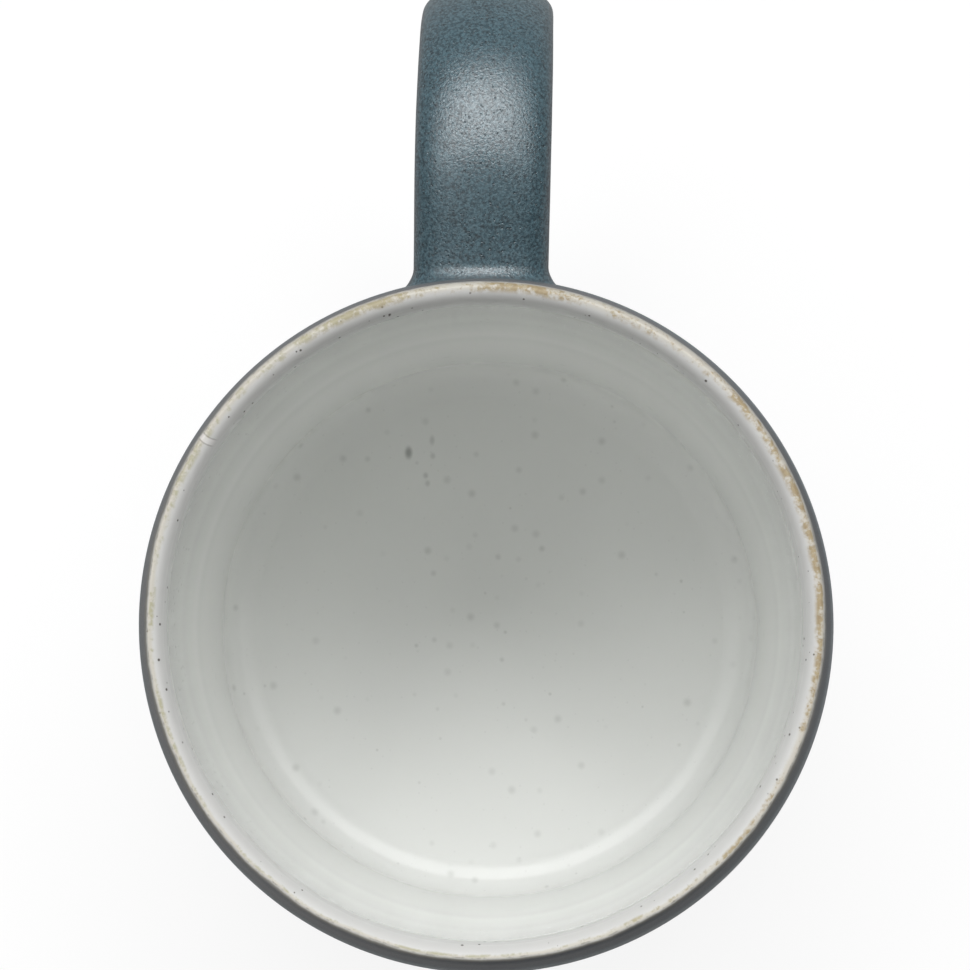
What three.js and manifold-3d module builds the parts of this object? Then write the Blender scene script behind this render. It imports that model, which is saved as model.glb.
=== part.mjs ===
import * as THREE from 'three';
import { mergeVertices } from 'three/addons/utils/BufferGeometryUtils.js';
import Module from 'manifold-3d';

// A stoneware mug: a turned clay body with a strap handle luted on, a white glaze inside,
// a blue-grey glaze outside and a toasted line on the lip where the two glazes meet.
// Millimetres, +Z up. The mug stands on z = 0 and its handle points along +X.

// Body, measured over the glaze
const mugHeight = 95;
const rimRadius = 42.2;
const lipThickness = 2.7;
const lipHeight = 2;
const bellyRadius = 46.6;
const bellyHeight = 49.5;
const heelRadius = 46;
const heelHeight = 14;
const wallThickness = 4.2;
const floorThickness = 5.5;
const floorFillet = 5.6;

// Foot ring, left as bare clay, and the well inside it
const footRadius = 37.5;
const footWidth = 4;
const footHeight = 2.5;
const footEdge = 0.8;
const wellDepth = 2.5;
const wellSlope = 2;

// Glaze coats, the room in the strap's sleeve of glaze, and where the toasted line lies round the lip,
// in degrees from the lip's outer side
const glazeThickness = 0.5;
const sleeveGap = 0.1;
const toastStart = 50;
const toastEnd = 95;

// Handle, an oval strap measured over its glaze, with its places measured from the mug's axis and the table.
// The flatness is the share of the arch's span that stays near its top.
const strapWidth = 17.4;
const strapThickness = 8.5;
const handleReach = 87.4;
const handleTop = 88;
const archReach = 59.6;
const archFlatness = 0.64;
const outermostHeight = 57;
const upperRootHeight = 79;
const lowerRootHeight = 24;
const upperRootRise = 18;
const lowerRootRise = 14;

// Luted roots: a fillet of slip between each end of the strap and the wall
const rootLength = 3;
const rootFillet = 2.2;
const seatGap = 0.3;

// Fineness of the faceted surfaces
const turnSteps = 44;
const wallSteps = 5;
const lipSteps = 3;
const strapSteps = 32;
const sectionSteps = 12;
const rootSteps = 5;

const wasm = await Module();
wasm.setup();

const stoneware = { color: 0xc9b496, roughness: 0.85, metalness: 0 };
const whiteGlaze = { color: 0xdfe0db, roughness: 0.12, metalness: 0 };
const blueGlaze = { color: 0x4b626c, roughness: 0.42, metalness: 0 };
const toastedGlaze = { color: 0xb79a6b, roughness: 0.3, metalness: 0 };

function named(name, geometry, finish) {
  const mesh = new THREE.Mesh(geometry, new THREE.MeshStandardMaterial(finish));
  mesh.name = name;
  return mesh;
}

// Closed three.js geometry to a solid for cutting, and back
function solidOf(geometry) {
  const bare = geometry.clone();
  bare.deleteAttribute('normal');
  bare.deleteAttribute('uv');
  const merged = mergeVertices(bare);
  const index = merged.index.array;
  const triangles = [];
  for (let i = 0; i < index.length; i += 3) {
    const [a, b, c] = index.slice(i, i + 3);
    if (a !== b && b !== c && c !== a) triangles.push(a, b, c);
  }
  const vertProperties = new Float32Array(merged.attributes.position.array);
  const triVerts = new Uint32Array(triangles);
  return new wasm.Manifold(new wasm.Mesh({ numProp: 3, vertProperties, triVerts }));
}

function geometryOf(solid) {
  const { vertProperties, triVerts } = solid.getMesh();
  const geometry = new THREE.BufferGeometry();
  geometry.setAttribute('position', new THREE.BufferAttribute(new Float32Array(vertProperties), 3));
  geometry.setIndex(new THREE.BufferAttribute(new Uint32Array(triVerts), 1));
  geometry.computeVertexNormals();
  return geometry;
}

// A turned solid from a profile of (radius, height) points, with its axis along Z
function turned(profile) {
  return new THREE.LatheGeometry(profile, turnSteps).rotateX(Math.PI / 2);
}

const at = (radius, height) => new THREE.Vector2(radius, height);

// The clay's profile in stretches, from the middle of the well, round the foot, up the outside,
// over the lip and down the inside to the middle of the floor. The coats lie on top of it.
const lipBase = mugHeight - lipHeight;
const lipMiddle = rimRadius - lipThickness / 2;
const lipRun = lipThickness / 2 - glazeThickness;
const lipRise = lipHeight - glazeThickness;
const innerRim = rimRadius - lipThickness;
const innerBelly = bellyRadius - wallThickness;
const cavityRadius = heelRadius - wallThickness;
const floorRadius = cavityRadius - floorFillet;
const floorTop = wellDepth + floorThickness;
const footInner = footRadius - footWidth;

// A wall leaning in to the rim meets the lip's ellipse where both have the same slope
function lipAngle(belly, rim) {
  const slope = (2 * (belly - rim)) / (lipBase - bellyHeight);
  return Math.atan((slope * lipRise) / lipRun);
}

function lipArc(from, to) {
  return new THREE.EllipseCurve(lipMiddle, lipBase, lipRun, lipRise, from, to).getPoints(lipSteps);
}

// From the belly, where the wall is upright, in to the lip, where it has the slope of the lip's ellipse
function leaningWall(belly, angle) {
  const end = at(lipMiddle + lipRun * Math.cos(angle), lipBase + lipRise * Math.sin(angle));
  const knee = at(belly, (bellyHeight + end.y) / 2);
  return new THREE.QuadraticBezierCurve(at(belly, bellyHeight), knee, end).getPoints(wallSteps);
}

// A wall that is upright at both its ends
function uprightWall(from, to) {
  const middle = (from.y + to.y) / 2;
  return new THREE.CubicBezierCurve(from, at(from.x, middle), at(to.x, middle), to).getPoints(wallSteps);
}

// A quarter round from level, at its bottom, to upright
function quarterRound(radius, height, run, rise) {
  return new THREE.EllipseCurve(radius, height, run, rise, -Math.PI / 2, 0).getPoints(wallSteps);
}

const outerLip = lipAngle(bellyRadius, rimRadius);
const innerLip = Math.PI + lipAngle(innerBelly, innerRim);
const toastOuter = THREE.MathUtils.degToRad(toastStart);
const toastInner = THREE.MathUtils.degToRad(toastEnd);
const clayBelly = bellyRadius - glazeThickness;
const clayHeel = heelRadius - glazeThickness;
const clayFoot = footHeight + glazeThickness;
const clayWell = wellDepth + glazeThickness;
const clayCavity = cavityRadius + glazeThickness;
const clayFillet = floorFillet + glazeThickness;
const filletTop = floorTop + floorFillet;

const stretches = {
  well: [at(0, clayWell), at(footInner - 2 * wellSlope, clayWell)],
  foot: [
    at(footInner - wellSlope, clayWell),
    at(footInner, footEdge),
    at(footInner + footEdge, 0),
    at(footRadius - footEdge, 0),
    at(footRadius, footEdge),
    at(footRadius, clayFoot),
  ],
  heel: quarterRound(footRadius, heelHeight, clayHeel - footRadius, heelHeight - clayFoot).slice(1),
  lowerWall: uprightWall(at(clayHeel, heelHeight), at(clayBelly, bellyHeight)).slice(1),
  upperWall: leaningWall(clayBelly, outerLip).slice(1),
  outerLip: lipArc(outerLip, toastOuter).slice(1),
  toast: lipArc(toastOuter, toastInner).slice(1),
  innerLip: lipArc(toastInner, innerLip).slice(1),
  innerUpper: leaningWall(innerBelly + glazeThickness, innerLip).reverse().slice(1),
  innerLower: uprightWall(at(innerBelly + glazeThickness, bellyHeight), at(clayCavity, filletTop)).slice(1),
  fillet: quarterRound(floorRadius, filletTop, clayFillet, clayFillet).reverse().slice(1),
  floor: [at(0, floorTop - glazeThickness)],
};

// The whole clay profile, and the first and last index of each stretch in it
const clay = [];
const first = {};
const last = {};
for (const [name, points] of Object.entries(stretches)) {
  first[name] = clay.length;
  clay.push(...points);
  last[name] = clay.length - 1;
}

// The profile moved outwards by a distance, with points on the axis kept on it
function grown(distance) {
  return clay.map((point, i) => {
    const before = clay[Math.max(i - 1, 0)];
    const after = clay[Math.min(i + 1, clay.length - 1)];
    const along = after.clone().sub(before).normalize();
    const moved = at(point.x + along.y * distance, point.y - along.x * distance);
    if (point.x === 0) moved.x = 0;
    return moved;
  });
}

const glazed = grown(glazeThickness);

// A coat of glaze on part of the clay, from one index of the profile to another. Its own profile
// closes on itself, or runs from the axis to the axis where the coat reaches it.
function coat(from, to) {
  const over = glazed.slice(from, to + 1);
  const under = clay.slice(from, to + 1).reverse();
  const loop = under[0].x === 0 ? [...under, ...over] : [...over, ...under];
  if (loop[0].x > 0) loop.push(loop[0]);
  return turned(loop);
}

// The radius of the glazed outside at a height on the wall
function wallRadius(height) {
  for (let i = first.heel; i < last.upperWall; i += 1) {
    const [low, high] = [glazed[i], glazed[i + 1]];
    if (low.y <= height && height <= high.y) {
      return THREE.MathUtils.mapLinear(height, low.y, high.y, low.x, high.x);
    }
  }
  return bellyRadius;
}

// A strap's section: an oval, grown all round by a distance
function strapSection(grow) {
  const section = new THREE.Shape();
  section.absellipse(0, 0, strapWidth / 2 + grow, strapThickness / 2 + grow, 0, 2 * Math.PI);
  return section;
}

const inPlane = (reach, height) => new THREE.Vector3(reach, 0, height);

// Where each end of the strap is luted: its seat on the wall, the way it leaves, and the strap's end
function luting(height, riseDegrees) {
  const rise = THREE.MathUtils.degToRad(riseDegrees);
  const seat = inPlane(wallRadius(height), height);
  const out = inPlane(Math.cos(rise), Math.sin(rise));
  return { seat, out, end: seat.clone().addScaledVector(out, rootLength + seatGap) };
}

const upper = luting(upperRootHeight, upperRootRise);
const lower = luting(lowerRootHeight, lowerRootRise);

// The strap's middle line: up from the wall to the top of the arch, round to the outermost point
// and back in to the lower root. A quarter of an ellipse is drawn with the usual cubic handles, and the
// arch leaves its top with longer ones.
const quarter = (4 / 3) * (Math.SQRT2 - 1);

function strapPath() {
  const half = strapThickness / 2;
  const top = inPlane(archReach, handleTop - half);
  const side = inPlane(handleReach - half, outermostHeight);
  const rise = top.distanceTo(upper.end) / 3;
  const across = side.x - top.x;
  const fall = side.z - lower.end.z;
  const path = new THREE.CurvePath();
  path.add(new THREE.CubicBezierCurve3(
    upper.end, upper.end.clone().addScaledVector(upper.out, rise), inPlane(top.x - rise, top.z), top));
  path.add(new THREE.CubicBezierCurve3(
    top, inPlane(top.x + archFlatness * across, top.z),
    inPlane(side.x, side.z + quarter * (top.z - side.z)), side));
  path.add(new THREE.CubicBezierCurve3(
    side, inPlane(side.x, side.z - quarter * fall),
    lower.end.clone().addScaledVector(lower.out, quarter * fall), lower.end));
  return path;
}

function swept(section) {
  return new THREE.ExtrudeGeometry(section, {
    steps: strapSteps,
    curveSegments: sectionSteps,
    extrudePath: strapPath(),
  });
}

// A closed skin over rings of points, each ring with as many points as the next
function lofted(rings) {
  const count = rings[0].length;
  const vertices = rings.flat();
  const middles = [rings[0], rings.at(-1)].map((ring) => {
    const sum = ring.reduce((total, point) => total.add(point), new THREE.Vector3());
    return sum.divideScalar(count);
  });
  const near = vertices.push(...middles) - 2;
  const far = near + 1;
  const lastRing = (rings.length - 1) * count;
  const index = [];
  for (let i = 0; i < count; i += 1) {
    const next = (i + 1) % count;
    index.push(near, next, i, far, lastRing + i, lastRing + next);
    for (let k = 0; k < lastRing; k += count) {
      index.push(k + i, k + next, k + count + next, k + i, k + count + next, k + count + i);
    }
  }
  return new THREE.BufferGeometry().setFromPoints(vertices).setIndex(index);
}

// A luted root: the strap's section, spreading to the wall in a concave fillet. Its rings lie on the
// round wall at the seat, straighten towards the strap's flat end, and go on into the wall for the cut.
function rootSpread({ seat, out }, grow) {
  const across = new THREE.Vector3(0, -1, 0);
  const thick = new THREE.Vector3().crossVectors(out, across);
  const toWall = ({ x, y }) => {
    const base = seat.clone().addScaledVector(thick, y);
    const wall = wallRadius(base.z);
    return (Math.sqrt(wall * wall - x * x) - base.x) / out.x;
  };
  const stations = [-wallThickness];
  for (let i = 0; i <= rootSteps; i += 1) stations.push((rootFillet * i) / rootSteps);
  stations.push(rootLength);
  const rings = stations.map((station) => {
    const climb = THREE.MathUtils.clamp(1 - station / rootFillet, 0, 1);
    const spread = rootFillet * (1 - Math.sqrt(1 - climb * climb)) + grow;
    const drape = THREE.MathUtils.clamp(1 - station / rootLength, 0, 1);
    const ring = strapSection(spread).getPoints(sectionSteps).slice(1);
    return ring.map((point) => seat.clone()
      .addScaledVector(out, station + drape * toWall(point))
      .addScaledVector(across, point.x)
      .addScaledVector(thick, point.y));
  });
  return solidOf(lofted(rings));
}

// The clay wall as a plug without its hollow, grown by the gap that a cut root keeps to it
function wallPlug() {
  const wall = grown(seatGap).slice(first.heel, last.upperWall + 1);
  return solidOf(turned([at(0, wall[0].y), ...wall, at(0, wall.at(-1).y)]));
}

function lutedRoot(place) {
  return geometryOf(rootSpread(place, 0).subtract(wallPlug()));
}

// The outer glaze stops round each root, where clay is luted to clay
function outerGlaze() {
  const shell = solidOf(coat(first.heel, last.outerLip));
  const windowed = [upper, lower].reduce((rest, place) => rest.subtract(rootSpread(place, seatGap)), shell);
  return geometryOf(windowed);
}

function handleGlaze() {
  const sleeve = strapSection(0);
  sleeve.holes.push(strapSection(-glazeThickness));
  return swept(sleeve);
}

const mug = new THREE.Group();
mug.add(
  named('stoneware_body', turned(clay), stoneware),
  named('liner_glaze', coat(last.toast, last.floor), whiteGlaze),
  named('lip_toast_line', coat(last.outerLip, last.toast), toastedGlaze),
  named('outer_glaze', outerGlaze(), blueGlaze),
  named('well_glaze', coat(first.well, last.well), blueGlaze),
  named('handle_strap', swept(strapSection(-glazeThickness - sleeveGap)), stoneware),
  named('handle_glaze', handleGlaze(), blueGlaze),
  named('upper_handle_root', lutedRoot(upper), blueGlaze),
  named('lower_handle_root', lutedRoot(lower), blueGlaze),
);

// The origin is under the middle of the whole mug, handle included
mug.position.x = (bellyRadius - handleReach) / 2;

export default mug;
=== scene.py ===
"""Stoneware mug: white and speckled inside, a toasted line round the lip, satin blue-grey outside."""

import math

import bmesh
import bpy
from mathutils import Matrix, Vector


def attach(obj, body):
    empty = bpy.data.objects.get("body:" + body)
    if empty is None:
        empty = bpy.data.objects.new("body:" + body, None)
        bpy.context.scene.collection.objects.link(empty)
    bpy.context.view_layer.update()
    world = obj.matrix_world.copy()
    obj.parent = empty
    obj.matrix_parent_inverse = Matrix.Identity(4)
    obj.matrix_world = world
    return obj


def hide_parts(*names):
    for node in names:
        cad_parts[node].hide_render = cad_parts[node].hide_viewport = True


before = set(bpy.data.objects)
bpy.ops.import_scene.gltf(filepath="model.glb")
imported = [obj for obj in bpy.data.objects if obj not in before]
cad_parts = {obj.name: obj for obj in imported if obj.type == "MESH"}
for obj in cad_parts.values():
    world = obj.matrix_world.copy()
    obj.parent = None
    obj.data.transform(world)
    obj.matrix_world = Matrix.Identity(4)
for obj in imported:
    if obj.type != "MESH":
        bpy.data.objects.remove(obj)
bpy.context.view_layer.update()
scene = bpy.context.scene

# The mug's sizes in millimetres, measured from its own axis and from the table
MM = 0.001
axis_place = Vector((-20.4, 0, 0)) * MM
crown_height = 94.94
crown_radius = 41.3
lip_outer_half = 0.9
lip_outer_drop = 2.0
lip_inner_half = 1.95
lip_inner_drop = 3.0
belly_radius = 46.58
belly_height = 49.5
heel_radius = 46.0
heel_height = 14.0
inner_belly_radius = 40.7
cavity_radius = 40.4
floor_top = 8.0
floor_dish = 1.0
floor_radius = 35.6
floor_band = 2.3
band_slope = 10.0
band_end_slope = 21.0
foot_radius = 37.5
foot_width = 4.0
foot_height = 2.5
foot_edge = 0.8
well_top = 2.5
well_slope = 2.0
glaze_depth = 0.3
toast_start = 50.0
toast_end = 95.0
lip_height = crown_height - lip_outer_drop
clay_stray = 0.1
hem_wave = 0.7

# Throwing rings on the inner wall in millimetres: height, depth and half width
throwing_rings = ((46.0, 0.03, 4.0), (66.0, 0.03, 5.0))

# The handle's sizes in millimetres: reach is counted from the mug's axis
strap_width = 17.6
strap_thickness = 8.5
upper_seat = (44.48, 79.0)
lower_seat = (46.3, 24.0)
upper_rise = 18.0
lower_rise = 14.0
root_stretch = 3.3
arch_top = (59.6, 83.72)
outer_side = (83.1, 57.0)
arch_flatness = 0.64
handle_skew = 1.28
skew_centre = 71.7
root_fillet = 2.0
root_bed = 0.3
bed_reach = 1.0
drape_length = 7.0
cast_lift = 6.0
cast_reach = 30.0
strap_stray = 0.15

# The part of the strap's half width, as a share of its whole width, where its corner starts and is full
corner_start = 0.455
corner_full = 0.495

# How finely the surfaces are divided
turn_steps = 240
wall_steps = 40
lip_steps = 44
edge_steps = 6
fillet_steps = 14
path_steps = 70
root_steps = 14
section_steps = 96


def paint(red, green, blue):
    """A colour written as it looks on a screen, from 0 to 255, as the linear values that a shader takes."""
    shares = [value / 255 for value in (red, green, blue)]
    linear = [s / 12.92 if s <= 0.04045 else ((s + 0.055) / 1.055) ** 2.4 for s in shares]
    return (*linear, 1.0)


# Node helpers
def new_group(name, kind, inputs, outputs):
    """A node group with named sockets, and its two ends."""
    tree = bpy.data.node_groups.new(name, kind)
    for label, socket_type, value in inputs:
        item = tree.interface.new_socket(label, in_out="INPUT", socket_type=socket_type)
        if value is not None:
            item.default_value = value
    for label, socket_type in outputs:
        tree.interface.new_socket(label, in_out="OUTPUT", socket_type=socket_type)
    source = tree.nodes.new("NodeGroupInput")
    sink = tree.nodes.new("NodeGroupOutput")
    return tree, source.outputs, sink.inputs


def put(tree, kind, fills=None, **settings):
    """Adds a node, makes its settings, and fills its inputs with values or links."""
    node = tree.nodes.new(kind)
    for name, value in settings.items():
        setattr(node, name, value)
    for key, value in (fills or {}).items():
        if isinstance(value, bpy.types.NodeSocket):
            tree.links.new(value, node.inputs[key])
        else:
            node.inputs[key].default_value = value
    return node


def calc(tree, operation, *values):
    """The result of one sum."""
    return put(tree, "ShaderNodeMath", dict(enumerate(values)), operation=operation).outputs[0]


def vector_calc(tree, operation, *values):
    """The vector result of one vector sum."""
    return put(tree, "ShaderNodeVectorMath", dict(enumerate(values)), operation=operation).outputs["Vector"]


def times(tree, vector, factor):
    """A vector made longer or shorter."""
    fills = {0: vector, "Scale": factor}
    return put(tree, "ShaderNodeVectorMath", fills, operation="SCALE").outputs["Vector"]


def vector_length(tree, vector):
    """How long a vector is."""
    return put(tree, "ShaderNodeVectorMath", {0: vector}, operation="LENGTH").outputs["Value"]


def fade(tree, value, start, end, low=0.0, high=1.0):
    """A smooth step from low at start to high at end."""
    fills = {"Value": value, "From Min": start, "From Max": end, "To Min": low, "To Max": high}
    return put(tree, "ShaderNodeMapRange", fills, interpolation_type="SMOOTHSTEP").outputs["Result"]


def noise(tree, vector, scale, detail=2.0, roughness=0.5, drift=0.0):
    """A cloud of values from 0 to 1, where drift picks another cloud."""
    fills = {"Vector": vector, "W": drift, "Scale": scale, "Detail": detail, "Roughness": roughness}
    return put(tree, "ShaderNodeTexNoise", fills, noise_dimensions="4D").outputs["Fac"]


def blend_colour(tree, share, under, over):
    """Two colours mixed by a share."""
    fills = {"Factor": share, 6: under, 7: over}
    return put(tree, "ShaderNodeMix", fills, data_type="RGBA").outputs[2]


def laid_on(tree, mask, strength, under, over):
    """A colour laid over another where a mask is, at a strength."""
    return blend_colour(tree, calc(tree, "MULTIPLY", mask, strength), under, over)


def facing(tree, azimuth, turn):
    """One on the side of the mug at this turn, and minus one on the far side."""
    return calc(tree, "COSINE", calc(tree, "SUBTRACT", azimuth, turn))


# Geometry trees
GEOMETRY = "NodeSocketGeometry"
FLOAT = "NodeSocketFloat"
COUNT = "NodeSocketInt"
OBJECT = "NodeSocketObject"
MATERIAL = "NodeSocketMaterial"
VECTOR = "NodeSocketVector"


def shaded_end(tree, geometry, material, sharp_angle):
    """Smooth faces, edges kept sharp past an angle, and the material."""
    smooth = put(tree, "GeometryNodeSetShadeSmooth", {"Geometry": geometry, "Shade Smooth": True})
    angle = put(tree, "GeometryNodeInputMeshEdgeAngle").outputs["Unsigned Angle"]
    past = put(tree, "FunctionNodeCompare", {0: angle, 1: sharp_angle}, operation="GREATER_THAN")
    fills = {"Geometry": smooth.outputs[0], "Selection": past.outputs[0], "Shade Smooth": False}
    creased = put(tree, "GeometryNodeSetShadeSmooth", fills, domain="EDGE")
    whole = put(tree, "GeometryNodeRealizeInstances", {"Geometry": creased.outputs[0]})
    fills = {"Geometry": whole.outputs[0], "Material": material}
    return put(tree, "GeometryNodeSetMaterial", fills).outputs[0]


def make_turning():
    """A tree that turns a profile about the mug's axis and lets it stray a little, as thrown clay does."""
    tree, given, result = new_group(
        "turned_piece",
        "GeometryNodeTree",
        [
            ("Profile", OBJECT, None),
            ("Turn steps", COUNT, 64),
            ("Guide radius", FLOAT, 0.02),
            ("Axis", VECTOR, None),
            ("Stray", FLOAT, 0.0),
            ("Stray scale", FLOAT, 20.0),
            ("Hem wave", FLOAT, 0.0),
            ("Hem height", FLOAT, 0.005),
            ("Hem scale", FLOAT, 260.0),
            ("Seed", COUNT, 1),
            ("Sharp angle", FLOAT, 0.7),
            ("Material", MATERIAL, None),
        ],
        [("Geometry", GEOMETRY)],
    )
    profile = put(tree, "GeometryNodeObjectInfo", {"Object": given["Profile"]}).outputs["Geometry"]
    circle = put(
        tree,
        "GeometryNodeCurvePrimitiveCircle",
        {"Resolution": given["Turn steps"], "Radius": given["Guide radius"]},
    )
    upright = put(tree, "GeometryNodeSetCurveNormal", {"Curve": circle.outputs["Curve"]}, mode="Z_UP")
    swept = put(tree, "GeometryNodeCurveToMesh", {"Curve": upright.outputs[0], "Profile Curve": profile})
    joined = put(tree, "GeometryNodeMergeByDistance", {"Geometry": swept.outputs[0], "Distance": 1e-7})

    place = put(tree, "GeometryNodeInputPosition").outputs[0]
    split = put(tree, "ShaderNodeSeparateXYZ", {0: place}).outputs
    flat = put(tree, "ShaderNodeCombineXYZ", {"X": split["X"], "Y": split["Y"]}).outputs[0]
    outward = vector_calc(tree, "NORMALIZE", flat)
    cloud = noise(tree, place, given["Stray scale"], 1.0, 0.5, given["Seed"])
    inward = calc(tree, "MULTIPLY", calc(tree, "MULTIPLY", cloud, given["Stray"]), -1.0)
    strayed = times(tree, outward, inward)
    round_place = times(tree, outward, given["Guide radius"])
    ripple = noise(tree, round_place, given["Hem scale"], 2.0, 0.55, given["Seed"])
    near_hem = fade(tree, split["Z"], given["Hem height"], 0.0)
    lift = calc(tree, "MULTIPLY", calc(tree, "MULTIPLY", ripple, given["Hem wave"]), near_hem)
    lifted = put(tree, "ShaderNodeCombineXYZ", {"Z": lift}).outputs[0]
    shift = vector_calc(tree, "ADD", vector_calc(tree, "ADD", strayed, lifted), given["Axis"])
    moved = put(tree, "GeometryNodeSetPosition", {"Geometry": joined.outputs[0], "Offset": shift})
    done = shaded_end(tree, moved.outputs[0], given["Material"], given["Sharp angle"])
    tree.links.new(done, result["Geometry"])
    return tree


def root_spread(tree, geometry, given, wall, distance, outward, across):
    """Flares one end of the strap in a fillet and lays its ring on the round wall."""
    radius = given["Root fillet"]
    short = calc(tree, "MAXIMUM", calc(tree, "SUBTRACT", radius, distance), 0.0)
    radius_squared = calc(tree, "MULTIPLY", radius, radius)
    chord = calc(tree, "SUBTRACT", radius_squared, calc(tree, "MULTIPLY", short, short))
    flare = calc(tree, "SUBTRACT", radius, calc(tree, "SQRT", calc(tree, "MAXIMUM", chord, 0.0)))
    place = put(tree, "GeometryNodeInputPosition").outputs[0]
    spread = vector_calc(tree, "ADD", place, times(tree, across, flare))
    above = vector_calc(tree, "ADD", spread, times(tree, outward, cast_lift * MM))
    fills = {
        "Target Geometry": wall,
        "Source Position": above,
        "Ray Direction": times(tree, outward, -1.0),
        "Ray Length": cast_reach * MM,
    }
    cast = put(tree, "GeometryNodeRaycast", fills).outputs
    bed = calc(tree, "MULTIPLY", given["Root bed"], fade(tree, distance, bed_reach * MM, 0.0))
    raised = calc(tree, "SUBTRACT", distance, bed)
    seated = vector_calc(tree, "ADD", cast["Hit Position"], times(tree, outward, raised))
    share = calc(tree, "MULTIPLY", fade(tree, distance, given["Drape length"], 0.0), cast["Is Hit"])
    pull = times(tree, vector_calc(tree, "SUBTRACT", seated, spread), share)
    drawn = vector_calc(tree, "ADD", spread, pull)
    return put(tree, "GeometryNodeSetPosition", {"Geometry": geometry, "Position": drawn}).outputs[0]


def make_strapping():
    """A tree that draws an oval strap along a path and spreads both ends onto the wall."""
    tree, given, result = new_group(
        "strap_handle",
        "GeometryNodeTree",
        [
            ("Path", OBJECT, None),
            ("Wall", OBJECT, None),
            ("Width", FLOAT, 0.017),
            ("Thickness", FLOAT, 0.0085),
            ("Section steps", COUNT, 64),
            ("Root fillet", FLOAT, 0.002),
            ("Root bed", FLOAT, 0.0003),
            ("Drape length", FLOAT, 0.007),
            ("Stray", FLOAT, 0.0),
            ("Stray scale", FLOAT, 60.0),
            ("Seed", COUNT, 1),
            ("Sharp angle", FLOAT, 1.2),
            ("Material", MATERIAL, None),
        ],
        [("Geometry", GEOMETRY)],
    )
    path = put(tree, "GeometryNodeObjectInfo", {"Object": given["Path"]}).outputs["Geometry"]
    wall = put(tree, "GeometryNodeObjectInfo", {"Object": given["Wall"]}).outputs["Geometry"]
    sideways = put(tree, "GeometryNodeSetCurveNormal", {"Curve": path, "Normal": (0, 1, 0)}, mode="FREE")
    stations = put(tree, "GeometryNodeCaptureAttribute", {"Geometry": sideways.outputs[0]})
    stations.capture_items.new("FLOAT", "Along")
    along_path = put(tree, "GeometryNodeSplineParameter").outputs["Length"]
    tree.links.new(along_path, stations.inputs["Along"])

    fills = {"Resolution": given["Section steps"], "Radius": 0.5}
    ring = put(tree, "GeometryNodeCurvePrimitiveCircle", fills)
    marked = put(tree, "GeometryNodeCaptureAttribute", {"Geometry": ring.outputs["Curve"]})
    marked.capture_items.new("FLOAT", "Corner")
    ring_place = put(tree, "GeometryNodeInputPosition").outputs[0]
    sideward = calc(tree, "ABSOLUTE", put(tree, "ShaderNodeSeparateXYZ", {0: ring_place}).outputs["X"])
    tree.links.new(fade(tree, sideward, corner_start, corner_full), marked.inputs["Corner"])
    fills = {"X": given["Width"], "Y": given["Thickness"], "Z": 1.0}
    size = put(tree, "ShaderNodeCombineXYZ", fills).outputs[0]
    oval = put(tree, "GeometryNodeTransform", {"Geometry": marked.outputs["Geometry"], "Scale": size})

    fills = {"Curve": stations.outputs["Geometry"], "Profile Curve": oval.outputs[0]}
    swept = put(tree, "GeometryNodeCurveToMesh", fills)
    surface = put(tree, "GeometryNodeCaptureAttribute", {"Geometry": swept.outputs[0]})
    surface.capture_items.new("VECTOR", "Across")
    tree.links.new(put(tree, "GeometryNodeInputNormal").outputs[0], surface.inputs["Across"])
    across = surface.outputs["Across"]

    start = put(tree, "GeometryNodeSampleCurve", {"Curves": path, "Factor": 0.0}).outputs["Tangent"]
    end = put(tree, "GeometryNodeSampleCurve", {"Curves": path, "Factor": 1.0}).outputs["Tangent"]
    length = put(tree, "GeometryNodeCurveLength", {"Curve": path}).outputs[0]
    from_start = stations.outputs["Along"]
    from_end = calc(tree, "SUBTRACT", length, from_start)

    place = put(tree, "GeometryNodeInputPosition").outputs[0]
    cloud = noise(tree, place, given["Stray scale"], 1.0, 0.5, given["Seed"])
    inward = calc(tree, "MULTIPLY", calc(tree, "MULTIPLY", cloud, given["Stray"]), -1.0)
    fills = {"Geometry": surface.outputs["Geometry"], "Offset": times(tree, across, inward)}
    strayed = put(tree, "GeometryNodeSetPosition", fills)
    upper = root_spread(tree, strayed.outputs[0], given, wall, from_start, start, across)
    lower = root_spread(tree, upper, given, wall, from_end, times(tree, end, -1.0), across)
    fills = {"Geometry": lower, "Name": "strap_corner", "Value": marked.outputs["Corner"]}
    named = put(tree, "GeometryNodeStoreNamedAttribute", fills, data_type="FLOAT", domain="POINT")
    done = shaded_end(tree, named.outputs[0], given["Material"], given["Sharp angle"])
    tree.links.new(done, result["Geometry"])
    return tree


def drawn_curve(name, points, closed):
    """A line of straight steps through points in metres, kept out of the render."""
    curve = bpy.data.curves.new(name, "CURVE")
    curve.dimensions = "3D"
    line = curve.splines.new("POLY")
    line.points.add(len(points) - 1)
    for spot, place in zip(line.points, points):
        spot.co = (*place, 1)
    line.use_cyclic_u = closed
    made = bpy.data.objects.new(name, curve)
    scene.collection.objects.link(made)
    made.hide_render = True
    return made


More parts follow.
